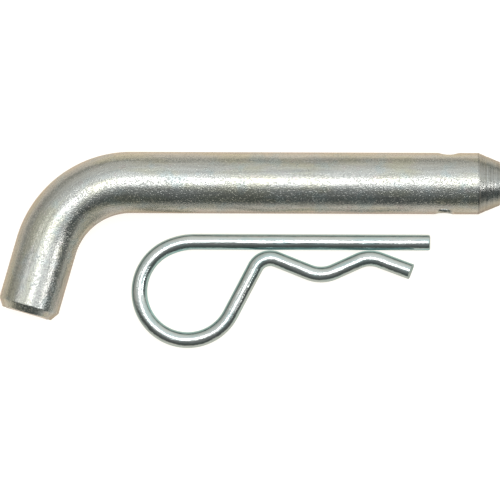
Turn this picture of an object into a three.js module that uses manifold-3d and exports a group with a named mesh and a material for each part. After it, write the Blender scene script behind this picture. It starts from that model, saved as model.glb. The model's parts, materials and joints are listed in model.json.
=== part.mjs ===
// A bent hitch pin and its spring clip, lying side by side on a flat surface.
// Millimetres, +Z up. Both pieces lie in the XY plane: +X runs along the pin's shank towards its
// cross-drilled tip, and the pin's bent handle and the clip lie on the -Y side of the shank.
// The origin is on the surface, under the middle of the whole layout.
import * as THREE from "three";
import { mergeVertices } from "three/addons/utils/BufferGeometryUtils.js";
import Module from "manifold-3d";

// --- Driving dimensions -----------------------------------------------------------------------

// The pin: 5/8 inch round bar with one bend.
const BAR_DIAMETER = 15.875;
const SHANK_LENGTH = 95.3; // bend to tip
const BEND_RADIUS = 22.7; // of the bar's centre line
const BEND_ANGLE = 74;
const HANDLE_LENGTH = 18.3; // straight part beyond the bend
const TIP_END_DIAMETER = 11.4;
const TIP_TAPER_LENGTH = 5.5;
const HANDLE_CHAMFER_RADIAL = 1.4;
const HANDLE_CHAMFER_AXIAL = 2.2;
const CROSS_HOLE_DIAMETER = 4.76; // 3/16 inch
const CROSS_HOLE_FROM_TIP = 13.9;
const CROSS_HOLE_TURN = 9; // how far the hole is turned out of the XY plane
const CROSS_HOLE_SKEW = 3.6; // how far it is drilled out of square with the shank
const COUNTERSINK_DIAMETER = 6.4;

// The clip: one length of round spring wire, in the shape of a letter R.
const WIRE_DIAMETER = 4.1;
const LOOP_RADIUS = 12.53; // of the wire's centre line
const LOOP_START_ANGLE = 115; // counter-clockwise from +X, seen from above
const LOOP_END_ANGLE = 332.45;
const LEAD_IN_RADIUS = 17; // gentler bend from the straight leg into the loop
const STRAIGHT_LEG_END_X = 62.8; // from the loop's centre
const LEG_CHAMFER = 0.35;

// The wavy leg leaves the loop in a straight line up to its first crest, then dips into the seat
// that grips the pin, rises to a second crest and ends in a short ramp. Its corners are those of
// the centre line before rounding, from the loop's centre, with the radius that rounds each one.
// At rest the two crests all but touch the straight leg.
const LOOP_TO_FIRST_CREST = 17.73;
const FIRST_CREST_RADIUS = 4.4;
const SEAT = { x: 34.7, y: 3.85, radius: 8.5 };
const SECOND_CREST = { x: 47.0, y: 9.4, radius: 7.5 };
const WAVY_LEG_END = { x: 58.1, y: 5.3 };

// Where the clip's loop lies, from the point on the shank's axis where the bend begins.
const LOOP_FROM_BEND_X = 14.7;
const LOOP_FROM_BEND_Y = -28.2;

// Facets.
const BAR_SIDES = 48;
const WIRE_SIDES = 20;
const HOLE_SIDES = 24;
const BAR_BEND_STEP = 6; // degrees of bend per step
const WIRE_BEND_STEP = 9;

const UP = new THREE.Vector3(0, 0, 1);
const FULL_TURN = 2 * Math.PI;
const radians = THREE.MathUtils.degToRad;

// --- Solids -----------------------------------------------------------------------------------

const wasm = await Module();
wasm.setup();

// A closed geometry as a manifold-3d solid.
function solidFrom(geometry) {
  const bare = geometry.clone();
  bare.deleteAttribute("normal");
  bare.deleteAttribute("uv");
  const merged = mergeVertices(bare, 1e-4);
  const mesh = new wasm.Mesh({
    numProp: 3,
    vertProperties: merged.attributes.position.array,
    triVerts: new Uint32Array(merged.index.array),
  });
  return new wasm.Manifold(mesh);
}

// A manifold-3d solid as a geometry.
function geometryFrom(solid) {
  const mesh = solid.getMesh();
  const geometry = new THREE.BufferGeometry();
  geometry.setAttribute("position", new THREE.BufferAttribute(mesh.vertProperties, 3));
  geometry.setIndex(new THREE.BufferAttribute(mesh.triVerts, 1));
  geometry.computeVertexNormals();
  return geometry;
}

function cut(geometry, cutters) {
  const solid = cutters.reduce((rest, cutter) => rest.subtract(solidFrom(cutter)), solidFrom(geometry));
  return geometryFrom(solid);
}

// --- Bent round stock -------------------------------------------------------------------------

// The centre line of a bent bar or wire in the XY plane. It holds only the stations where the
// section is placed: the two ends of each straight, and even steps round each bend.
class BentLine extends THREE.Curve {
  constructor(x, y, heading) {
    super();
    this.stations = [];
    this.position = new THREE.Vector3(x, y, 0);
    this.heading = radians(heading);
    this.addStation();
  }

  get direction() {
    return new THREE.Vector3(Math.cos(this.heading), Math.sin(this.heading), 0);
  }

  addStation() {
    this.stations.push({ point: this.position.clone(), tangent: this.direction });
  }

  straight(length) {
    this.position.addScaledVector(this.direction, length);
    this.addStation();
    return this;
  }

  // Turns left by a positive angle and right by a negative one.
  bend(radius, angle, step) {
    const steps = Math.ceil(Math.abs(angle) / step);
    const side = Math.sign(angle);
    const toCentre = this.direction.applyAxisAngle(UP, (side * Math.PI) / 2).multiplyScalar(radius);
    const centre = this.position.clone().add(toCentre);
    for (let i = 0; i < steps; i++) {
      const turn = radians(angle / steps);
      this.position.sub(centre).applyAxisAngle(UP, turn).add(centre);
      this.heading += turn;
      this.addStation();
    }
    return this;
  }

  get steps() {
    return this.stations.length - 1;
  }

  getPointAt(u, target = new THREE.Vector3()) {
    return target.copy(this.stations[Math.round(u * this.steps)].point);
  }

  getTangentAt(u, target = new THREE.Vector3()) {
    return target.copy(this.stations[Math.round(u * this.steps)].tangent);
  }
}

// Round stock of one diameter along a bent line.
function roundStock(line, diameter, sides) {
  const section = new THREE.Shape();
  for (let i = 0; i < sides; i++) {
    const angle = (i / sides) * FULL_TURN;
    const x = (diameter / 2) * Math.cos(angle);
    const y = (diameter / 2) * Math.sin(angle);
    if (i === 0) section.moveTo(x, y);
    else section.lineTo(x, y);
  }
  section.closePath();
  return new THREE.ExtrudeGeometry(section, { steps: line.steps, extrudePath: line, curveSegments: 1 });
}

// A ring that turns a chamfer on the end of round stock. The end's face is at the station, and
// the stock lies behind it, against the station's tangent or along it.
function chamferRing(station, outward, diameter, radial, axial, sides) {
  const radius = diameter / 2;
  const over = 0.25; // how far the ring runs past the chamfer, as a part of its size
  const profile = [
    new THREE.Vector2(radius - radial * (1 + over), axial * over),
    new THREE.Vector2(radius + radial * over, -axial * (1 + over)),
    new THREE.Vector2(radius + radial * over, axial * over),
    new THREE.Vector2(radius - radial * (1 + over), axial * over),
  ];
  const ring = new THREE.LatheGeometry(profile, sides);
  const axis = station.tangent.clone().multiplyScalar(outward);
  const turn = new THREE.Quaternion().setFromUnitVectors(new THREE.Vector3(0, 1, 0), axis);
  ring.applyQuaternion(turn);
  ring.translate(station.point.x, station.point.y, station.point.z);
  return ring;
}

// --- The pin ----------------------------------------------------------------------------------

// The hole for the clip's straight leg, with its countersunk mouths, along Y and then turned
// about the shank's axis.
function crossHoleCutters(holeX) {
  const bore = new THREE.CylinderGeometry(
    CROSS_HOLE_DIAMETER / 2,
    CROSS_HOLE_DIAMETER / 2,
    BAR_DIAMETER * 1.5,
    HOLE_SIDES,
  );
  // Each mouth is a 90 degree countersink that reaches its full diameter at the bar's surface,
  // where the mouth of the bore is lowest.
  const mouthDepth = (COUNTERSINK_DIAMETER - CROSS_HOLE_DIAMETER) / 2;
  const rise = 1; // how far the cutter stands above the bar
  const mouths = [1, -1].map((side) => {
    const wide = COUNTERSINK_DIAMETER / 2 + rise;
    const narrow = CROSS_HOLE_DIAMETER / 2;
    const height = mouthDepth + rise;
    const mouth =
      side > 0
        ? new THREE.CylinderGeometry(wide, narrow, height, HOLE_SIDES)
        : new THREE.CylinderGeometry(narrow, wide, height, HOLE_SIDES);
    const surface = Math.sqrt((BAR_DIAMETER / 2) ** 2 - (COUNTERSINK_DIAMETER / 2) ** 2);
    mouth.translate(0, side * (surface - mouthDepth + height / 2), 0);
    return mouth;
  });
  return [bore, ...mouths].map((cutter) => {
    cutter.rotateX(-radians(CROSS_HOLE_TURN));
    cutter.rotateZ(-radians(CROSS_HOLE_SKEW));
    cutter.translate(holeX, 0, 0);
    return cutter;
  });
}

// Drawn from the tip back to the handle, with the start of the bend at X = 0, Y = 0.
function hitchPinGeometry() {
  const line = new BentLine(SHANK_LENGTH, 0, 180)
    .straight(SHANK_LENGTH)
    .bend(BEND_RADIUS, BEND_ANGLE, BAR_BEND_STEP)
    .straight(HANDLE_LENGTH);
  const bar = roundStock(line, BAR_DIAMETER, BAR_SIDES);
  const tip = line.stations[0];
  const handleEnd = line.stations[line.steps];
  const tipTaper = chamferRing(
    tip,
    -1,
    BAR_DIAMETER,
    (BAR_DIAMETER - TIP_END_DIAMETER) / 2,
    TIP_TAPER_LENGTH,
    BAR_SIDES,
  );
  const handleChamfer = chamferRing(
    handleEnd,
    1,
    BAR_DIAMETER,
    HANDLE_CHAMFER_RADIAL,
    HANDLE_CHAMFER_AXIAL,
    BAR_SIDES,
  );
  const holeCutters = crossHoleCutters(SHANK_LENGTH - CROSS_HOLE_FROM_TIP);
  return cut(bar, [tipTaper, handleChamfer, ...holeCutters]);
}

// --- The clip ---------------------------------------------------------------------------------

// The lead-in bend ends where the loop begins, with the same heading, so its centre lies on the
// line through the loop's centre and that point.
const leadInCentre = new THREE.Vector2(
  (LOOP_RADIUS - LEAD_IN_RADIUS) * Math.cos(radians(LOOP_START_ANGLE)),
  (LOOP_RADIUS - LEAD_IN_RADIUS) * Math.sin(radians(LOOP_START_ANGLE)),
);
const straightLegY = leadInCentre.y + LEAD_IN_RADIUS;

function straightLegGeometry() {
  const line = new BentLine(STRAIGHT_LEG_END_X, straightLegY, 180);
  line.straight(STRAIGHT_LEG_END_X - leadInCentre.x);
  const wire = roundStock(line, WIRE_DIAMETER, WIRE_SIDES);
  const end = line.stations[0];
  return cut(wire, [chamferRing(end, -1, WIRE_DIAMETER, LEG_CHAMFER, LEG_CHAMFER, WIRE_SIDES)]);
}

function loopGeometry() {
  const line = new BentLine(leadInCentre.x, straightLegY, 180)
    .bend(LEAD_IN_RADIUS, LOOP_START_ANGLE - 90, WIRE_BEND_STEP)
    .bend(LOOP_RADIUS, LOOP_END_ANGLE - LOOP_START_ANGLE, WIRE_BEND_STEP);
  return roundStock(line, WIRE_DIAMETER, WIRE_SIDES);
}

// From the end of the loop over both crests to the sprung end.
function wavyLegGeometry() {
  const loopEnd = {
    x: LOOP_RADIUS * Math.cos(radians(LOOP_END_ANGLE)),
    y: LOOP_RADIUS * Math.sin(radians(LOOP_END_ANGLE)),
  };
  const loopHeading = LOOP_END_ANGLE - 270;
  const firstCrest = {
    x: loopEnd.x + LOOP_TO_FIRST_CREST * Math.cos(radians(loopHeading)),
    y: loopEnd.y + LOOP_TO_FIRST_CREST * Math.sin(radians(loopHeading)),
    radius: FIRST_CREST_RADIUS,
  };
  const points = [loopEnd, firstCrest, SEAT, SECOND_CREST, WAVY_LEG_END];
  const headings = points.slice(1).map((to, i) => {
    const from = points[i];
    return Math.atan2(to.y - from.y, to.x - from.x);
  });
  const line = new BentLine(loopEnd.x, loopEnd.y, loopHeading);
  let trimmedBefore = 0; // length that the last bend has taken from the straight after it
  for (let i = 0; i < headings.length; i++) {
    const length = Math.hypot(points[i + 1].x - points[i].x, points[i + 1].y - points[i].y);
    const corner = points[i + 1];
    const turn = i + 1 < headings.length ? headings[i + 1] - headings[i] : 0;
    const trimmedAfter = (corner.radius ?? 0) * Math.tan(Math.abs(turn) / 2);
    line.straight(length - trimmedBefore - trimmedAfter);
    if (turn !== 0) line.bend(corner.radius, THREE.MathUtils.radToDeg(turn), WIRE_BEND_STEP);
    trimmedBefore = trimmedAfter;
  }
  const wire = roundStock(line, WIRE_DIAMETER, WIRE_SIDES);
  const end = line.stations[line.steps];
  return cut(wire, [chamferRing(end, 1, WIRE_DIAMETER, LEG_CHAMFER, LEG_CHAMFER, WIRE_SIDES)]);
}

// --- The object -------------------------------------------------------------------------------

// Satin zinc plate on the bar, and brighter clear zinc on the drawn wire.
const satinZinc = { color: 0x9c9d98, roughness: 0.45, metalness: 1 };
const brightZinc = { color: 0xb4bcbd, roughness: 0.25, metalness: 1 };

function piece(name, geometry, finish) {
  const mesh = new THREE.Mesh(geometry, new THREE.MeshStandardMaterial(finish));
  mesh.name = name;
  return mesh;
}

const pin = new THREE.Group();
pin.add(piece("hitch_pin", hitchPinGeometry(), satinZinc));
pin.position.set(0, 0, BAR_DIAMETER / 2);

const clip = new THREE.Group();
clip.add(piece("clip_straight_leg", straightLegGeometry(), brightZinc));
clip.add(piece("clip_loop", loopGeometry(), brightZinc));
clip.add(piece("clip_wavy_leg", wavyLegGeometry(), brightZinc));
clip.position.set(LOOP_FROM_BEND_X, LOOP_FROM_BEND_Y, WIRE_DIAMETER / 2);

const hitchPinAndClip = new THREE.Group();
hitchPinAndClip.add(pin, clip);

// Brings the middle of the layout over the origin.
const middle = new THREE.Box3().setFromObject(hitchPinAndClip, true).getCenter(new THREE.Vector3());
hitchPinAndClip.position.set(-middle.x, -middle.y, 0);

export default hitchPinAndClip;
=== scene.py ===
"""A bent round hitch pin and its spring clip, lying side by side on a pale table.

The file is laid out as a Blender add-on: sizes and colours are properties, each piece has an operator.
Lengths are in metres. The bar and the wire are both modelled the same way: a ring of edges at one end
is pushed along the straights, swung round the bends and scaled for the chamfers.
"""

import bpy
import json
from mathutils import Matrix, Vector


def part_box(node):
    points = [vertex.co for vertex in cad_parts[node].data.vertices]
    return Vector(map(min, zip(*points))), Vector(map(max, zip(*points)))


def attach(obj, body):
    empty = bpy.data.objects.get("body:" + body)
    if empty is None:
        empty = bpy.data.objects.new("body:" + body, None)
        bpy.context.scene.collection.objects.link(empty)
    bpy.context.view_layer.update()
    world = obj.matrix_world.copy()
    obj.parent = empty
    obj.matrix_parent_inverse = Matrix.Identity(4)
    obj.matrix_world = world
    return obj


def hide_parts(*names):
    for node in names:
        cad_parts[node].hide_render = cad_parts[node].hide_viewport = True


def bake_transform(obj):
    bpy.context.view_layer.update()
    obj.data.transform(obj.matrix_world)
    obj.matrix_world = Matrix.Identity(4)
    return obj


bl_info = {
    "name": "Hitch Pin and Spring Clip",
    "version": (1, 0, 0),
    "blender": (4, 5, 0),
    "location": "3D View > Sidebar > Hitch Pin",
    "description": "Models a bent hitch pin with its spring clip, and a plain studio for them",
    "category": "Add Mesh",
}

import json
import math
import random

import bpy
from mathutils import Matrix, Quaternion, Vector

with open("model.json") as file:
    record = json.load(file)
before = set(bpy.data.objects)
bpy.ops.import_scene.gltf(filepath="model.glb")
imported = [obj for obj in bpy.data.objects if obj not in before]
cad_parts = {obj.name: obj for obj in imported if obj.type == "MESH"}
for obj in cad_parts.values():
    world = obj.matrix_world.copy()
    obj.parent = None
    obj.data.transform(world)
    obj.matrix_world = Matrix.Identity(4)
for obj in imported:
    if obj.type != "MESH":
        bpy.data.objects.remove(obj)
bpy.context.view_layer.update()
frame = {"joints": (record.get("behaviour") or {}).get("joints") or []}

MM = 0.001
UP = Vector((0, 0, 1))

# The places of the pin and the clip come from the frame.
pin_low, pin_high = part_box("hitch_pin")
leg_low, leg_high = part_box("clip_straight_leg")
clip_spring = next(joint for joint in frame["joints"] if joint["name"] == "clip_spring")
loop_centre = Vector(clip_spring["pos_m"])


# Sizes and colours

class HitchPinSizes(bpy.types.PropertyGroup):
    """The sizes of the bent bar, measured along its axis from the tip"""

    bar_diameter: bpy.props.FloatProperty(
        name="Bar diameter", description="Thickness of the round bar", unit="LENGTH",
        default=pin_high.z - pin_low.z, precision=5)
    shank_length: bpy.props.FloatProperty(
        name="Shank length", description="From the tip to where the bend starts", unit="LENGTH",
        default=95.3 * MM, precision=5)
    bend_radius: bpy.props.FloatProperty(
        name="Bend radius", description="Radius of the bend at the bar's axis", unit="LENGTH",
        default=22.7 * MM, precision=5)
    bend_angle: bpy.props.FloatProperty(
        name="Bend angle", description="How far the handle is bent from the shank", subtype="ANGLE",
        default=math.radians(74))
    handle_length: bpy.props.FloatProperty(
        name="Handle length", description="From the end of the bend to the handle's end face",
        unit="LENGTH", default=18.3 * MM, precision=5)
    tip_diameter: bpy.props.FloatProperty(
        name="Tip diameter", description="Across the flat end of the tip", unit="LENGTH",
        default=11.4 * MM, precision=5)
    tip_length: bpy.props.FloatProperty(
        name="Tip length", description="Length of the turned lead-in cone", unit="LENGTH",
        default=5.5 * MM, precision=5)
    chamfer_depth: bpy.props.FloatProperty(
        name="Chamfer depth", description="How far the handle's chamfer comes in from its side",
        unit="LENGTH", default=1.4 * MM, precision=5)
    chamfer_length: bpy.props.FloatProperty(
        name="Chamfer length", description="Length of the handle's chamfer along the bar",
        unit="LENGTH", default=2.2 * MM, precision=5)
    hole_diameter: bpy.props.FloatProperty(
        name="Cross hole diameter", description="Diameter of the hole for the clip", unit="LENGTH",
        default=4.76 * MM, precision=5)
    hole_from_tip: bpy.props.FloatProperty(
        name="Cross hole from tip", description="From the tip to the middle of the cross hole",
        unit="LENGTH", default=13.9 * MM, precision=5)
    hole_turn: bpy.props.FloatProperty(
        name="Cross hole turn", description="How far the cross hole is turned out of the level",
        subtype="ANGLE", default=math.radians(9))
    hole_skew: bpy.props.FloatProperty(
        name="Cross hole skew", description="How far the cross hole is drilled out of square",
        subtype="ANGLE", default=math.radians(3.6))


class SpringClipSizes(bpy.types.PropertyGroup):
    """The sizes of the bent wire clip"""

    wire_diameter: bpy.props.FloatProperty(
        name="Wire diameter", description="Thickness of the spring wire", unit="LENGTH",
        default=leg_high.z - leg_low.z, precision=5)
    loop_radius: bpy.props.FloatProperty(
        name="Loop radius", description="Radius of the eye at the wire's axis", unit="LENGTH",
        default=12.53 * MM, precision=5)
    lead_in_radius: bpy.props.FloatProperty(
        name="Lead-in radius", description="Radius of the gentle bend from the straight leg",
        unit="LENGTH", default=17 * MM, precision=5)
    straight_end: bpy.props.FloatProperty(
        name="Straight leg's end", description="From the eye's middle to the straight leg's end",
        unit="LENGTH", default=62.8 * MM, precision=5)
    first_crest_rise: bpy.props.FloatProperty(
        name="Rise to the first crest", description="From the eye's end to the first crest's corner",
        unit="LENGTH", default=17.73 * MM, precision=5)


class ZincColours(bpy.types.PropertyGroup):
    """The colours of the plating"""

    pin_zinc: bpy.props.FloatVectorProperty(
        name="Pin's zinc", description="Colour of the satin plating on the bar", subtype="COLOR",
        size=3, default=(0.430, 0.425, 0.400))
    pin_warm: bpy.props.FloatVectorProperty(
        name="Pin's warm tint", description="Yellow-green passivate colour in the satin plating",
        subtype="COLOR", size=3, default=(0.440, 0.425, 0.340))
    pin_cool: bpy.props.FloatVectorProperty(
        name="Pin's cool tint", description="Cool colour in the satin plating", subtype="COLOR",
        size=3, default=(0.370, 0.425, 0.430))
    clip_zinc: bpy.props.FloatVectorProperty(
        name="Clip's zinc", description="Colour of the bright plating on the wire", subtype="COLOR",
        size=3, default=(0.430, 0.438, 0.418))
    # Also the colour of the painted teal reflection down the wire's sides and inside its bends.
    clip_blue: bpy.props.FloatVectorProperty(
        name="Clip's blue tint", description="Blue-green passivate colour on the wire",
        subtype="COLOR", size=3, default=(0.215, 0.385, 0.390))


class StudioSettings(bpy.types.PropertyGroup):
    """The table and the lights"""

    table_colour: bpy.props.FloatVectorProperty(
        name="Table colour", description="Colour of the plain table", subtype="COLOR", size=3,
        default=(0.32, 0.305, 0.29))
    table_glow: bpy.props.FloatVectorProperty(
        name="Table glow", description="Light that comes up through the table", subtype="COLOR",
        size=3, default=(0.88, 0.845, 0.80))
    key_power: bpy.props.FloatProperty(
        name="Overhead softbox", description="Brightness of the softbox overhead", default=5.0, min=0)
    side_power: bpy.props.FloatProperty(
        name="Side softbox", description="Brightness of the softbox beside the tip", default=9.0,
        min=0)
    card_power: bpy.props.FloatProperty(
        name="Reflecting card", description="Brightness of the card beyond the handle", default=2.4,
        min=0)


# The flats that the bending die leaves inside the bend: how far round the bar from its top, in degrees.
PRESSED_AT = 52
PRESSED_WIDTH = 34
PRESSED_DEPTH = 0.55 * MM

# How far the sheared ends lean back from square.
END_FACE_LEAN = math.radians(1.8)
WIRE_CUT_LEAN = math.radians(11)

# The clip's shape that isn't a user's size: angles, and corners measured from the eye's middle.
WIRE_SIDES = 48
LEAD_IN_ANGLE = math.radians(25)
LOOP_END_ANGLE = math.radians(332.45)
SEAT = (34.7, 3.85)
SECOND_CREST = (47.0, 9.4)
WAVY_END = (58.1, 5.3)
FIRST_CREST_RADIUS = 4.4 * MM
SEAT_RADIUS = 8.5 * MM
SECOND_CREST_RADIUS = 7.5 * MM
LOOP_SWEEP = LOOP_END_ANGLE - LEAD_IN_ANGLE - math.pi / 2

# The tip's end face is turned round a small dimple, and its edge is broken.
DIMPLE_FLOOR = 0.3 * MM
DIMPLE_RADIUS = 0.8 * MM
DIMPLE_DEPTH = 0.25 * MM
TIP_EDGE = 0.22 * MM
FACE_GROOVE = 0.024 * MM
FACE_RINGS = 16

# The marks round the cone, where the tool dug in deepest, and the marks on the handle's end.
CONE_MARKS = 26
DEEP_MARKS = (16, 17)
DEEP_GROOVE = 0.075 * MM
CHAMFER_MARKS = 9
SHEARED_RINGS = 12

# How finely the bars are made, and how far from a straight's end its holding ring stands.
BAR_SIDES = 128
CUTTER_SIDES = 72
BAR_BEND_STEPS = 56
LEAD_IN_STEPS = 14
LOOP_STEPS = 110
CREST_STEPS = 26
HOLE_RING = 5 * MM
HOLDING_RING = 0.12 * MM

# Edges sharper than this are shaded sharp.
SMOOTH_ANGLE = math.radians(24)

# The finishes' colours that aren't a user's, and the studio's.
PINK_BLOTCH = (0.46, 0.385, 0.38)
PIT_DARK = (0.16, 0.17, 0.165)
# Painted shade on the turned cone, its rings and the step where it starts.
PAINTED_CONE_SHADE = (0.20, 0.20, 0.19)
WARM_LINE = (0.46, 0.41, 0.385)
# Painted dark reflection line along the wire's flank.
PAINTED_FLANK_REFLECTION = (0.14, 0.19, 0.19)
PIN_EDGE_TINT = (0.90, 0.80, 0.70)
CLIP_EDGE_TINT = (0.74, 0.82, 0.80)
BACKDROP = (0.90, 0.89, 0.87)
LEFT_DIM = (0.30, 0.30, 0.27)
SOFTBOX_DISTANCE = 3.0


# Bars and wires

def deselect_everything():
    """Leave edit mode with nothing selected."""
    if bpy.context.object and bpy.context.object.mode != "OBJECT":
        bpy.ops.object.mode_set(mode="OBJECT")
    bpy.ops.object.select_all(action="DESELECT")


def select_only(thing):
    """Leave one object selected and active."""
    deselect_everything()
    thing.select_set(True)
    bpy.context.view_layer.objects.active = thing


def direction(heading):
    """The level direction at an angle from +X."""
    return Vector((math.cos(heading), math.sin(heading), 0))


class RoundBar:
    """A round bar made from its first end's ring, which is pushed, swung and scaled to the last."""

    def __init__(self, name, at, heading, radius, sides, travelled=0):
        deselect_everything()
        bpy.ops.mesh.primitive_circle_add(
            vertices=sides, radius=radius, location=at, rotation=(0, math.pi / 2, heading))
        self.object = bpy.context.object
        self.object.name = name
        self.object.data.name = name
        bpy.ops.object.transform_apply(location=True, rotation=True, scale=True)
        bpy.ops.object.mode_set(mode="EDIT")
        bpy.ops.mesh.select_all(action="SELECT")
        self.at = Vector(at)
        self.heading = heading
        self.radius = radius
        self.travelled = travelled
        self.straights = []
        self.arcs = []

    def ring_to(self, radius):
        """Scale the end ring about its middle."""
        factor = radius / self.radius
        bpy.ops.transform.resize(value=(factor, factor, factor), center_override=self.at)
        self.radius = radius

    def push(self, length, radius=None):
        """Extrude the end ring straight on, and scale it where a radius is given."""
        step = direction(self.heading) * length
        bpy.ops.mesh.extrude_region_move(TRANSFORM_OT_translate={"value": step})
        self.straights.append((self.travelled, self.at.copy(), self.heading, length))
        self.at += step
        self.travelled += length
        if radius is not None:
            self.ring_to(radius)

    def run(self, length):
        """Extrude a straight, with a ring close to each of its ends that keeps its shading true."""
        self.push(HOLDING_RING)
        self.push(length - 2 * HOLDING_RING)
        self.push(HOLDING_RING)

    def bend(self, angle, bend_radius, steps):
        """Swing the end ring round a bend: a positive angle turns left."""
        side = 1 if angle > 0 else -1
        centre = self.at + direction(self.heading + side * math.pi / 2) * bend_radius
        bpy.ops.mesh.spin(
            steps=steps, dupli=False, angle=abs(angle), center=centre, axis=(0, 0, -side))
        self.arcs.append((self.travelled, centre, self.heading, angle, bend_radius))
        self.at = centre + Matrix.Rotation(angle, 3, "Z") @ (self.at - centre)
        self.heading += angle
        self.travelled += abs(angle) * bend_radius

    def close(self):
        """Fill both ends, merge doubles and point the faces outwards."""
        bpy.ops.mesh.select_all(action="SELECT")
        bpy.ops.mesh.fill_holes(sides=0)
        bpy.ops.mesh.select_all(action="SELECT")
        bpy.ops.mesh.remove_doubles(threshold=1e-7)
        bpy.ops.mesh.normals_make_consistent(inside=False)
        bpy.ops.object.mode_set(mode="OBJECT")

    def cut_off(self, at, away):
        """Saw the bar through at a slant, and keep the side that the cut faces away from."""
        bpy.ops.object.mode_set(mode="EDIT")
        bpy.ops.mesh.select_all(action="SELECT")
        bpy.ops.mesh.bisect(plane_co=at, plane_no=away, use_fill=True, clear_outer=True)
        bpy.ops.mesh.select_all(action="SELECT")
        bpy.ops.mesh.remove_doubles(threshold=2e-6)
        bpy.ops.mesh.normals_make_consistent(inside=False)
        bpy.ops.object.mode_set(mode="OBJECT")

    def straightened(self, point):
        """Where a point of the finished bar lay on the straight stock before it was bent."""
        best = None
        for travelled, start, heading, length in self.straights:
            way = direction(heading)
            along = min(max((point - start).dot(way), min(length, 0)), max(length, 0))
            offset = point - start - way * along
            left = offset.dot(direction(heading + math.pi / 2))
            place = Vector((travelled + along, left, offset.z))
            best = min((offset.length, tuple(place)), best or (math.inf, None))
        for travelled, centre, heading, angle, bend_radius in self.arcs:
            side = 1 if angle > 0 else -1
            spoke = direction(heading - side * math.pi / 2)
            arm = point - centre
            flat = Vector((arm.x, arm.y, 0))
            turned = side * math.atan2(spoke.cross(flat).z, spoke.dot(flat)) - abs(angle) / 2
            turned = (turned + math.pi) % math.tau - math.pi + abs(angle) / 2
            turned = min(max(turned, 0), abs(angle))
            axis_point = centre + Matrix.Rotation(side * turned, 3, "Z") @ (spoke * bend_radius)
            offset = point - axis_point
            left = -side * offset.dot(Matrix.Rotation(side * turned, 3, "Z") @ spoke)
            place = Vector((travelled + turned * bend_radius, left, offset.z))
            best = min((offset.length, tuple(place)), best or (math.inf, None))
        return best[1]

    def store_stock_place(self):
        """Keep each point's place on the straight stock, for the grain that follows the bar."""
        mesh = self.object.data
        stock_place = mesh.attributes.new("stock_place", "FLOAT_VECTOR", "POINT")
        places = []
        for vertex in mesh.vertices:
            places.extend(self.straightened(vertex.co))
        stock_place.data.foreach_set("vector", places)

    def smooth(self):
        """Shade the bar smooth, but for its sharp edges."""
        select_only(self.object)
        bpy.ops.object.shade_smooth_by_angle(angle=SMOOTH_ANGLE)


def turned_face(bar, edge_radius, inner_radius, groove, steps, rng):
    """Rings across a turned end face, from its middle out, each but the last a random hair deep."""
    depth = 0
    for ring in range(steps):
        share = (ring + 1) / steps
        radius = inner_radius + (edge_radius - inner_radius) * share
        new_depth = 0 if ring == steps - 1 else rng.uniform(0, groove)
        bar.push(new_depth - depth, radius)
        depth = new_depth


def sheared_face(bar, radii, low, high, rng, depth=0):
    """Rings across a sheared end face, each at a random depth in millimetres. Gives the last depth."""
    for radius in radii:
        new_depth = rng.uniform(low, high) * MM
        bar.push(new_depth - depth, radius)
        depth = new_depth
    return depth


# Shader expressions

class Wave:
    """A socket in an expression: its sums, products and so on add Math nodes."""

    def __init__(self, finish, socket):
        self.finish = finish
        self.socket = socket

    def maths(self, operation, *values):
        return self.finish.node("ShaderNodeMath", {"operation": operation}, dict(enumerate(values)))

    def __add__(self, other):
        return self.maths("ADD", self, other)

    __radd__ = __add__

    def __mul__(self, other):
        return self.maths("MULTIPLY", self, other)

    __rmul__ = __mul__

    def __sub__(self, other):
        return self.maths("SUBTRACT", self, other)

    def __rsub__(self, other):
        return self.maths("SUBTRACT", other, self)

    def positive(self):
        return self.maths("MAXIMUM", self, 0)

    def clamped(self):
        return self.maths("MINIMUM", self.positive(), 1)

    def between(self, low, high):
        """0 below the low value, 1 above the high one, and smooth between."""
        settings = {"interpolation_type": "SMOOTHSTEP"}
        return self.finish.node("ShaderNodeMapRange", settings, {0: self, 1: low, 2: high})


class Finish:
    """A node tree being filled: a material's or the world's."""

    def __init__(self, tree):
        self.tree = tree
        tree.nodes.clear()

    def node(self, kind, settings=None, values=None, output=0):
        """Add any node: its settings first, then the values or links of its sockets."""
        node = self.tree.nodes.new(kind)
        for name, setting in (settings or {}).items():
            setattr(node, name, setting)
        for name, value in (values or {}).items():
            if isinstance(value, Wave):
                self.tree.links.new(value.socket, node.inputs[name])
            else:
                node.inputs[name].default_value = value
        if not node.outputs:
            return None
        return Wave(self, node.outputs[output])

    def stock_place(self):
        """Where a point lay on the straight stock: along it, to its left and up from its axis."""
        return self.node("ShaderNodeAttribute", {"attribute_name": "stock_place"}, output=1)

    def noise(self, place, scale, detail, roughness):
        values = {"Vector": place, "Scale": scale, "Detail": detail, "Roughness": roughness}
        return self.node("ShaderNodeTexNoise", {}, values)

    def stretched(self, place, scale):
        """A place scaled along its own three directions."""
        return self.node("ShaderNodeMapping", {}, {"Vector": place, "Scale": scale})

    def component(self, place, index):
        """One of a place's three numbers."""
        return self.node("ShaderNodeSeparateXYZ", {}, {"Vector": place}, index)

    def mixed(self, factor, first, second, blend="MIX"):
        """Colours mixed by a factor; fixed colours are given as three numbers."""
        values = {0: factor}
        for index, colour in ((6, first), (7, second)):
            values[index] = colour if isinstance(colour, Wave) else (*colour, 1)
        return self.node("ShaderNodeMix", {"data_type": "RGBA", "blend_type": blend}, values, 2)

    def bump(self, height, distance, strength=1.0, under=None):
        """A bump of a height field, over another bump where one is given."""
        values = {"Height": height, "Distance": distance, "Strength": strength}
        if under:
            values["Normal"] = under
        return self.node("ShaderNodeBump", {}, values)


def new_finish(name):
    material = bpy.data.materials.new(name)
    material.use_nodes = True
    return material, Finish(material.node_tree)


def plated(finish, colour, roughness, normal, edge_tint):
    """A plated metal surface, and its output."""
    shader = finish.node("ShaderNodeBsdfPrincipled", {}, {
        "Base Color": colour, "Metallic": 1.0, "Roughness": roughness, "Normal": normal,
        "Specular Tint": (*edge_tint, 1)})
    finish.node("ShaderNodeOutputMaterial", {}, {"Surface": shader})


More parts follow.
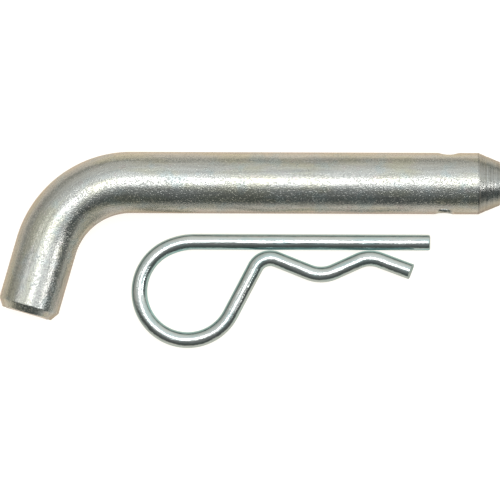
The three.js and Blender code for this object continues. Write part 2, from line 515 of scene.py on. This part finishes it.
def satin_zinc(colours, sizes):
    """Satin zinc on drawn bar: pitted grain, faint lengthwise streaks and patches of passivate."""
    material, finish = new_finish("satin_zinc_plate")
    stock = finish.stock_place()
    place = finish.node("ShaderNodeTexCoord", output=3)

    streak_place = finish.stretched(stock, (60, 900, 900))
    streaks = finish.noise(streak_place, 1.0, 3, 0.6)
    patch_place = finish.stretched(stock, (70, 260, 260))
    patches = finish.noise(patch_place, 1.0, 2, 0.5)
    blotches = finish.noise(stock, 420, 3, 0.6)
    grain = finish.noise(place, 2600, 3, 0.65)
    pits = finish.noise(place, 1500, 2, 0.5)
    clouds = finish.noise(place, 190, 3, 0.55)

    warm = patches.between(0.42, 0.66)
    cool = clouds.between(0.52, 0.70)
    colour = finish.mixed(warm * 0.75, tuple(colours.pin_zinc), tuple(colours.pin_warm))
    colour = finish.mixed(cool * 0.55, colour, tuple(colours.pin_cool))
    pink = blotches.between(0.58, 0.72)
    colour = finish.mixed(pink * 0.35, colour, PINK_BLOTCH)
    # The turned tip has fine rings round it. Its colour is painted shade: the whole cone darker, darker
    # still along the rings, and a dark line at the step where it starts.
    along = finish.component(stock, 0)
    turned = 1 - along.between(sizes.tip_length - 0.15 * MM, sizes.tip_length)
    step = along.between(sizes.tip_length - 0.30 * MM, sizes.tip_length - 0.10 * MM)
    step = step * (1 - along.between(sizes.tip_length, sizes.tip_length + 0.20 * MM))
    rings = finish.noise(finish.stretched(stock, (5200, 90, 90)), 1.0, 2, 0.6)
    cone_painted_shade = turned * (0.34 + 0.40 * rings.between(0.40, 0.66)) + step * 0.40
    dark_pits = pits.between(0.66, 0.78)
    colour = finish.mixed(dark_pits * 0.55, colour, PIT_DARK)
    colour = finish.mixed(cone_painted_shade.clamped(), colour, PAINTED_CONE_SHADE)
    shade = streaks.between(0.30, 0.62) * 0.16 + grain.between(0.35, 0.62) * 0.12 + 0.72
    grey = finish.node("ShaderNodeCombineColor", {}, {0: shade, 1: shade, 2: shade})
    colour = finish.mixed(1.0, colour, grey, "MULTIPLY")

    roughness = 0.15 + 0.12 * grain + 0.07 * clouds.between(0.4, 0.7) + 0.15 * dark_pits
    waves = finish.bump(clouds, 0.00020, 0.24)
    nicks = finish.noise(place, 2300, 2, 0.5)
    rings_cut = finish.bump(rings * turned, 0.00005, 0.8, waves)
    specks = finish.bump(nicks.between(0.54, 0.68) * (1 - 0.7 * turned), 0.000030, 1.0, rings_cut)
    grained = finish.bump(grain, 0.00006, 0.85, specks)
    plated(finish, colour, roughness, grained, PIN_EDGE_TINT)
    return material


def bright_zinc(colours):
    """Bright blue-clear zinc on spring wire: glossy, with faint drawing lines along it."""
    material, finish = new_finish("bright_zinc_plate")
    stock = finish.stock_place()

    line_place = finish.stretched(stock, (90, 1800, 1800))
    lines = finish.noise(line_place, 1.0, 3, 0.6)
    patch_place = finish.stretched(stock, (120, 500, 500))
    patches = finish.noise(patch_place, 1.0, 2, 0.5)
    grain = finish.noise(stock, 1700, 2, 0.6)

    # Blue passivate in patches, and over it a painted teal reflection down the wire's sides rather than
    # along its top, strongest inside its bends.
    left = finish.component(stock, 1)
    height = finish.component(stock, 2)
    inner = (left + (patches - 0.5) * (1.2 * MM)).between(-0.4 * MM, 1.0 * MM)
    top = (height + (patches - 0.5) * (0.8 * MM)).between(0.7 * MM, 1.9 * MM)
    blue_and_painted_reflection = (0.30 * patches.between(0.44, 0.66) + (1 - top) * (0.22 + 0.63 * inner)).clamped()
    colour = finish.mixed(blue_and_painted_reflection, tuple(colours.clip_zinc), tuple(colours.clip_blue))
    warm = lines.between(0.52, 0.7)
    colour = finish.mixed(warm * 0.35, colour, WARM_LINE)
    # A painted dark reflection line runs along the outer flank, and past the eye's far side along the
    # inner one.
    along = finish.component(stock, 0)
    past = along.between(26 * MM, 37 * MM)
    lined_side = (1 - inner) * (1 - past) + inner * past
    flank_reflection_mask = height.between(0.7 * MM, 1.1 * MM) * (1 - height.between(1.3 * MM, 1.6 * MM))
    colour = finish.mixed(flank_reflection_mask * (0.08 + 0.70 * lined_side), colour, PAINTED_FLANK_REFLECTION)

    roughness = 0.10 + 0.08 * grain + 0.05 * patches
    waves = finish.noise(finish.stretched(stock, (210, 420, 420)), 1.0, 2, 0.5)
    wavy = finish.bump(waves, 0.00026, 0.6)
    drawn = finish.bump(lines, 0.00004, 0.5, wavy)
    grained = finish.bump(grain, 0.00007, 0.5, drawn)
    plated(finish, colour, roughness, grained, CLIP_EDGE_TINT)
    return material


def give_finish(piece, material):
    piece.data.materials.clear()
    piece.data.materials.append(material)


# The pieces

def leg_corner(place):
    """A corner of the wavy leg, from its place beside the eye's middle in millimetres."""
    return Vector((loop_centre.x + place[0] * MM, loop_centre.y + place[1] * MM, loop_centre.z))


def finish_clip_piece(wire, node):
    """Shade and plate a piece of the clip, and hide the part it stands in for."""
    wire.smooth()
    wire.store_stock_place()
    material = bpy.data.materials.get("bright_zinc_plate")
    if material is None:
        material = bright_zinc(bpy.context.scene.zinc_colours)
    give_finish(wire.object, material)
    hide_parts(node)


def cross_hole_cutter(sizes, hole_place):
    """A round cutter with rounded lips where it meets the bar's sides, wider at the far one."""
    hole = sizes.hole_diameter / 2
    bar = sizes.bar_diameter / 2
    # How far out each ring lies, and its half widths along the bar and across it.
    lip = ((0.80, 1.00, 1.01), (0.83, 1.00, 1.05), (0.86, 1.00, 1.12), (0.885, 1.00, 1.23),
           (0.91, 1.01, 1.42), (0.94, 1.03, 1.62), (0.97, 1.07, 1.75), (1.00, 1.14, 1.85),
           (1.04, 1.26, 1.95), (1.10, 1.50, 2.10))
    far_lip = ((0.78, 1.00, 1.03), (0.81, 1.00, 1.12), (0.84, 1.01, 1.32), (0.87, 1.03, 1.62),
               (0.90, 1.08, 1.82), (0.94, 1.16, 1.95), (1.00, 1.32, 2.10), (1.10, 1.60, 2.30))
    rings = [(-reach, along, across) for reach, along, across in reversed(lip)]
    rings += list(far_lip)
    start = hole_place + Vector((0, rings[0][0] * bar, 0))
    cutter = RoundBar("cross_hole_cutter", start, math.pi / 2, hole, CUTTER_SIDES)
    along = 1
    across = 1
    for index, (reach, new_along, new_across) in enumerate(rings):
        if index:
            cutter.push((reach - rings[index - 1][0]) * bar)
        stretch = (new_along / along, 1, new_across / across)
        bpy.ops.transform.resize(value=stretch, center_override=cutter.at)
        along = new_along
        across = new_across
    bpy.ops.mesh.select_all(action="SELECT")
    for axis, turn in (("X", sizes.hole_turn), ("Z", sizes.hole_skew)):
        bpy.ops.transform.rotate(value=turn, orient_axis=axis, center_override=hole_place)
    cutter.close()
    return cutter.object


def press_bend(bar, sizes):
    """Press the inside of the bend in a little, above and below, as a bending die does."""
    travelled, _, _, angle, bend_radius = bar.arcs[0]
    bar_radius = sizes.bar_diameter / 2
    pressed = bar.object.vertex_groups.new(name="pressed_by_the_die")
    for vertex in bar.object.data.vertices:
        along, left, height = bar.straightened(vertex.co)
        # How far round the bend the point is, from -1 to 1, and how far round the bar.
        round_bend = (along - travelled) / (angle * bend_radius) * 2 - 1
        round_bar = math.degrees(math.atan2(left, abs(height)))
        near = max(0, 1 - (round_bend / 0.85) ** 2)
        band = max(0, 1 - ((round_bar - PRESSED_AT) / PRESSED_WIDTH) ** 2)
        weight = near ** 1.5 * band ** 1.5
        if weight > 0 and math.hypot(left, height) > 0.8 * bar_radius:
            pressed.add([vertex.index], weight, "REPLACE")
    select_only(bar.object)
    die = bar.object.modifiers.new("die", "DISPLACE")
    die.vertex_group = pressed.name
    die.mid_level = 0
    die.strength = -PRESSED_DEPTH
    bpy.ops.object.modifier_apply(modifier=die.name)
    bar.object.vertex_groups.remove(bar.object.vertex_groups[0])


class HITCHPIN_OT_pin_bar(bpy.types.Operator):
    """Model the bent bar, with its turned tip, cross hole and chamfered handle"""

    bl_idname = "hitchpin.pin_bar"
    bl_label = "Hitch pin"

    def execute(self, context):
        sizes = context.scene.hitch_pin_sizes
        rng = random.Random(5)
        radius = sizes.bar_diameter / 2
        axis_y = pin_high.y - radius
        axis_z = pin_low.z + radius
        tip = Vector((pin_high.x, axis_y, axis_z))

        # The tip's end face, turned flat round its dimple.
        dimple = tip - Vector((DIMPLE_DEPTH, 0, 0))
        bar = RoundBar("pin_bar", dimple, math.pi, DIMPLE_FLOOR, BAR_SIDES)
        bar.push(-DIMPLE_DEPTH, DIMPLE_RADIUS)
        tip_radius = sizes.tip_diameter / 2
        turned_face(bar, tip_radius - TIP_EDGE, DIMPLE_RADIUS, FACE_GROOVE, FACE_RINGS, rng)
        bar.push(0.08 * MM, tip_radius - 0.06 * MM)
        bar.push(0.14 * MM, tip_radius)

        # The lead-in cone, with the marks the tool left round it.
        cone_start = TIP_EDGE
        cone_end = sizes.tip_length - 0.18 * MM
        slope = (radius - 0.10 * MM - tip_radius) / (cone_end - cone_start)
        step = (cone_end - cone_start) / CONE_MARKS
        travelled = cone_start
        for mark in range(CONE_MARKS):
            travelled += step
            surface = tip_radius + slope * (travelled - cone_start)
            groove = rng.choice((0.0, 0.01, 0.02, 0.035)) * MM
            if mark in DEEP_MARKS:
                groove = DEEP_GROOVE
            if mark == CONE_MARKS - 1:
                groove = 0
            bar.push(step, surface - groove)
        bar.push(0.05 * MM, radius - 0.02 * MM)
        bar.push(0.13 * MM, radius)

        # The shank: rings stand close on both sides of the cross hole.
        hole = sizes.hole_from_tip
        for reach in (hole - HOLE_RING, hole, hole + HOLE_RING, sizes.shank_length):
            bar.run(bar.at.x - (tip.x - reach))
        bar.bend(sizes.bend_angle, sizes.bend_radius, BAR_BEND_STEPS)

        # The handle, its chamfer with shear marks across it, and its end face.
        bar.run(sizes.handle_length - sizes.chamfer_length - 0.15 * MM)
        bar.push(0.15 * MM, radius - 0.04 * MM)
        for mark in range(CHAMFER_MARKS):
            share = (mark + 1) / CHAMFER_MARKS
            surface = radius - 0.04 * MM - (sizes.chamfer_depth - 0.04 * MM) * share
            groove = 0 if mark == CHAMFER_MARKS - 1 else rng.uniform(-0.035, 0.01) * MM
            bar.push((sizes.chamfer_length - 0.2 * MM) / CHAMFER_MARKS, surface + groove)
        bar.push(0.2 * MM, radius - sizes.chamfer_depth - 0.16 * MM)
        end_radius = bar.radius
        end_place = bar.at - UP * end_radius
        shares = [1 - (ring + 1) / (SHEARED_RINGS + 0.6) for ring in range(SHEARED_RINGS)]
        sheared_face(bar, [end_radius * share for share in shares], -0.03, 0, rng)
        bar.close()
        bar.cut_off(end_place, direction(bar.heading) + UP * math.tan(END_FACE_LEAN))
        press_bend(bar, sizes)

        hole_place = Vector((tip.x - hole, axis_y, axis_z))
        cutter = cross_hole_cutter(sizes, hole_place)
        select_only(bar.object)
        drill = bar.object.modifiers.new("drill", "BOOLEAN")
        drill.operation = "DIFFERENCE"
        drill.solver = "EXACT"
        drill.object = cutter
        bpy.ops.object.modifier_apply(modifier=drill.name)
        bpy.data.objects.remove(cutter)

        bar.smooth()
        bar.store_stock_place()
        give_finish(bar.object, satin_zinc(context.scene.zinc_colours, sizes))
        # The clip's wire is too glossy to have the whole pin mirrored in it.
        bar.object.visible_glossy = False
        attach(bar.object, "pin")
        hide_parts("hitch_pin")
        return {"FINISHED"}


def clip_start(sizes):
    """Where the straight leg meets the lead-in bend, on the wire's axis."""
    wire = sizes.wire_diameter / 2
    return Vector((leg_low.x, leg_high.y - wire, leg_low.z + wire))


class HITCHPIN_OT_clip_leg_straight(bpy.types.Operator):
    """Model the clip's straight leg, which goes through the pin's cross hole"""

    bl_idname = "hitchpin.clip_leg_straight"
    bl_label = "Clip's straight leg"

    def execute(self, context):
        sizes = context.scene.spring_clip_sizes
        wire = sizes.wire_diameter / 2
        place = clip_start(sizes)
        end = Vector((loop_centre.x + sizes.straight_end, place.y, place.z))
        length = end.x - place.x

        # The cut end: a rough face, with a small rolled edge.
        depth = 0.05 * MM
        leg = RoundBar("clip_leg_straight", end - Vector((depth, 0, 0)), math.pi, 0.4 * MM,
                       WIRE_SIDES, travelled=-length + depth)
        radii = [wire * share for share in (0.3, 0.45, 0.6, 0.72, 0.82)]
        depth = sheared_face(leg, radii, 0, 0.06, random.Random(11), depth)
        leg.push(0.12 * MM - depth, wire * 0.91)
        leg.push(0.13 * MM, wire * 0.965)
        leg.push(0.25 * MM, wire)
        leg.run(length - 0.5 * MM)
        leg.close()
        finish_clip_piece(leg, "clip_straight_leg")
        # The pin's side would show it as a dark line.
        leg.object.visible_glossy = False
        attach(leg.object, "clip")
        return {"FINISHED"}


class HITCHPIN_OT_clip_spring_loop(bpy.types.Operator):
    """Model the clip's eye, the bend that lets the wavy leg spring open"""

    bl_idname = "hitchpin.clip_spring_loop"
    bl_label = "Clip's eye"

    def execute(self, context):
        sizes = context.scene.spring_clip_sizes
        wire = sizes.wire_diameter / 2
        place = clip_start(sizes)
        loop = RoundBar("clip_spring_loop", place, math.pi, wire, WIRE_SIDES)
        loop.bend(LEAD_IN_ANGLE, sizes.lead_in_radius, LEAD_IN_STEPS)
        loop.bend(LOOP_SWEEP, sizes.loop_radius, LOOP_STEPS)
        loop.close()
        finish_clip_piece(loop, "clip_loop")
        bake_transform(loop.object)
        return {"FINISHED"}


class HITCHPIN_OT_clip_leg_wavy(bpy.types.Operator):
    """Model the clip's wavy leg, whose seat grips the pin"""

    bl_idname = "hitchpin.clip_leg_wavy"
    bl_label = "Clip's wavy leg"

    def execute(self, context):
        sizes = context.scene.spring_clip_sizes
        wire = sizes.wire_diameter / 2
        heading = LOOP_END_ANGLE - 1.5 * math.pi
        spoke = direction(LOOP_END_ANGLE)
        start = Vector((loop_centre.x, loop_centre.y, leg_low.z + wire)) + spoke * sizes.loop_radius
        loop_run = sizes.lead_in_radius * LEAD_IN_ANGLE + sizes.loop_radius * LOOP_SWEEP
        leg = RoundBar("clip_leg_wavy", start, heading, wire, WIRE_SIDES, travelled=loop_run)

        first_crest = start + direction(heading) * sizes.first_crest_rise
        corners = [start, first_crest]
        corners += [leg_corner(place) for place in (SEAT, SECOND_CREST, WAVY_END)]
        radii = (None, FIRST_CREST_RADIUS, SEAT_RADIUS, SECOND_CREST_RADIUS)
        for index in range(1, len(corners) - 1):
            before = corners[index] - corners[index - 1]
            after = corners[index + 1] - corners[index]
            turn = math.atan2(before.cross(after).z, before.dot(after))
            tangent = radii[index] * math.tan(abs(turn) / 2)
            straight = (corners[index] - leg.at).dot(before.normalized()) - tangent
            leg.run(straight)
            leg.bend(turn, radii[index], CREST_STEPS)
        last = (corners[-1] - leg.at).length
        leg.push(last - 0.10 * MM)
        leg.push(0.06 * MM, wire * 0.985)
        leg.push(0.04 * MM, wire * 0.96)
        end_place = leg.at - UP * leg.radius * 0.9
        radii = [wire * share for share in (0.8, 0.66, 0.5, 0.34, 0.16)]
        sheared_face(leg, radii, -0.05, 0, random.Random(17))
        leg.close()
        leg.cut_off(end_place, direction(leg.heading) + UP * math.tan(WIRE_CUT_LEAN))
        finish_clip_piece(leg, "clip_wavy_leg")
        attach(leg.object, "spring_leg")
        return {"FINISHED"}


# The studio

def softbox(name, zenith, azimuth, width, depth, brightness, turn=0):
    """A rectangular softbox that faces the middle of the table, all its angles in degrees."""
    zenith = math.radians(zenith)
    azimuth = math.radians(azimuth)
    width = 2 * SOFTBOX_DISTANCE * math.tan(math.radians(width) / 2)
    depth = 2 * SOFTBOX_DISTANCE * math.tan(math.radians(depth) / 2)
    away = direction(azimuth) * math.sin(zenith) + UP * math.cos(zenith)
    light = bpy.data.lights.new(name, "AREA")
    light.shape = "RECTANGLE"
    light.size = width
    light.size_y = depth
    # A softbox's power for a given brightness grows with its area.
    light.energy = brightness * math.pi * width * depth
    lamp = bpy.data.objects.new(name, light)
    bpy.context.collection.objects.link(lamp)
    lamp.location = away * SOFTBOX_DISTANCE
    facing = away.to_track_quat("Z", "Y") @ Quaternion((0, 0, 1), math.radians(turn))
    lamp.rotation_euler = facing.to_euler()
    lamp.visible_camera = False


def studio_air(world):
    """Light all round: a bright wall on the far side, a dark one on the near side."""
    air = Finish(world.node_tree)
    way = air.node("ShaderNodeTexCoord", output=0)
    across = air.component(way, 0)
    far = air.component(way, 1)
    rise = air.component(way, 2)
    lean = across.positive() * (1 - rise) * 0.5
    lit_side = (far + 0.24 - lean).between(-0.12, 0.10)
    height = rise.clamped()
    bright = air.mixed(height, (0.96, 0.93, 0.82), (1.50, 1.62, 1.68))
    bright = air.mixed(height.between(0.0, 0.11), (0.56, 0.58, 0.53), bright)
    dark = air.mixed(height.between(0.40, 1.0), (0.138, 0.160, 0.156), (0.37, 0.40, 0.41))
    left = (across * -1).positive()
    bright = air.mixed(left * 0.55, bright, LEFT_DIM)
    wall = air.mixed(lit_side, dark, bright)
    # Below the horizon this stands in for the mirrored table: dark far off, warm close by.
    depth = rise * -1
    far_floor = air.mixed(depth.between(0.10, 0.42), (0.42, 0.45, 0.43), (1.45, 1.38, 1.25))
    far_floor = air.mixed(depth.between(0.60, 0.95), far_floor, (1.27, 1.18, 1.06))
    far_floor = air.mixed(left * 0.30, far_floor, LEFT_DIM)
    near_floor = air.mixed(depth.between(0.0, 0.50), (0.90, 0.92, 0.85), (1.35, 1.27, 1.15))
    near_floor = air.mixed(depth.between(0.60, 0.95), near_floor, (0.78, 0.72, 0.65))
    floor = air.mixed(lit_side, near_floor, far_floor)
    wall = air.mixed(depth.between(-0.05, 0.03), wall, floor)
    seen = air.node("ShaderNodeLightPath", output=0)
    colour = air.mixed(seen, wall, BACKDROP)
    glow = air.node("ShaderNodeBackground", {}, {"Color": colour, "Strength": 1.0})
    air.node("ShaderNodeOutputWorld", {}, {"Surface": glow})


class HITCHPIN_OT_studio(bpy.types.Operator):
    """Lay the pale table, hang the softboxes and set the camera straight overhead"""

    bl_idname = "hitchpin.studio"
    bl_label = "Table, lights and camera"

    def execute(self, context):
        settings = context.scene.studio_settings
        deselect_everything()
        bpy.ops.mesh.primitive_plane_add(size=6, location=(0, 0, -0.02 * MM))
        table = context.object
        table.name = "table"
        bpy.ops.object.transform_apply(location=True, rotation=True, scale=True)
        # The metal mirrors the lower half of the studio's air in its place.
        table.visible_glossy = False
        material, finish = new_finish("pale_table")
        place = finish.node("ShaderNodeTexCoord", output=3)
        # The table glows from below. Beyond about 9 cm from the middle its colour and its glow fall to
        # two thirds, which in the colour is a painted pool of light round the pieces.
        reach = finish.node("ShaderNodeVectorMath", {"operation": "LENGTH"}, {0: place}, 1)
        away = reach.between(0.09, 0.19)
        colours = []
        for near in (settings.table_colour, settings.table_glow):
            colours.append(finish.mixed(away, tuple(near), tuple(channel * 0.66 for channel in near)))
        shader = finish.node("ShaderNodeBsdfPrincipled", {}, {
            "Base Color": colours[0], "Emission Color": colours[1], "Emission Strength": 1.0,
            "Roughness": 0.9, "Specular IOR Level": 0.0})
        finish.node("ShaderNodeOutputMaterial", {}, {"Surface": shader})
        table.data.materials.append(material)

        softbox("overhead_softbox", 6.8, 91, 17.5, 20, settings.key_power, turn=-17)
        softbox("side_softbox", 44.5, -12, 15, 9.5, settings.side_power)
        softbox("far_card", 41, 165, 12, 8.5, settings.card_power)

        world = bpy.data.worlds.new("studio_air")
        world.use_nodes = True
        context.scene.world = world
        studio_air(world)
        context.scene.view_settings.view_transform = "Standard"

        camera = bpy.data.cameras.new("overhead_camera")
        camera.sensor_width = 36
        camera.lens = 500
        camera.clip_end = 20
        view = bpy.data.objects.new("overhead_camera", camera)
        context.collection.objects.link(view)
        seen_width = 129.37 * MM
        height = seen_width * camera.lens / camera.sensor_width
        view.location = (0.10 * MM, 0.08 * MM, height + 5 * MM)
        view.rotation_euler = (0, 0, math.radians(0.2))
        context.scene.camera = view
        return {"FINISHED"}


class HITCHPIN_PT_sidebar(bpy.types.Panel):
    """The pin, the clip and the studio in the sidebar"""

    bl_label = "Hitch pin and spring clip"
    bl_idname = "HITCHPIN_PT_sidebar"
    bl_space_type = "VIEW_3D"
    bl_region_type = "UI"
    bl_category = "Hitch Pin"

    def draw(self, context):
        for operator in OPERATORS:
            self.layout.operator(operator.bl_idname)
        for name, group in SETTINGS.items():
            box = self.layout.box()
            box.label(text=group.bl_rna.name)
            for key in group.__annotations__:
                box.prop(getattr(context.scene, name), key)


SETTINGS = {
    "hitch_pin_sizes": HitchPinSizes,
    "spring_clip_sizes": SpringClipSizes,
    "zinc_colours": ZincColours,
    "studio_settings": StudioSettings,
}
OPERATORS = (
    HITCHPIN_OT_pin_bar,
    HITCHPIN_OT_clip_leg_straight,
    HITCHPIN_OT_clip_spring_loop,
    HITCHPIN_OT_clip_leg_wavy,
    HITCHPIN_OT_studio,
)


def register():
    for group in SETTINGS.values():
        bpy.utils.register_class(group)
    for name, group in SETTINGS.items():
        setattr(bpy.types.Scene, name, bpy.props.PointerProperty(type=group))
    for operator in OPERATORS:
        bpy.utils.register_class(operator)
    bpy.utils.register_class(HITCHPIN_PT_sidebar)


def unregister():
    bpy.utils.unregister_class(HITCHPIN_PT_sidebar)
    for operator in reversed(OPERATORS):
        bpy.utils.unregister_class(operator)
    for name in SETTINGS:
        delattr(bpy.types.Scene, name)
    for group in SETTINGS.values():
        bpy.utils.unregister_class(group)


def main():
    """Make everything in order."""
    register()
    bpy.ops.hitchpin.pin_bar()
    bpy.ops.hitchpin.clip_leg_straight()
    bpy.ops.hitchpin.clip_spring_loop()
    bpy.ops.hitchpin.clip_leg_wavy()
    bpy.ops.hitchpin.studio()


if __name__ == "__main__":
    main()
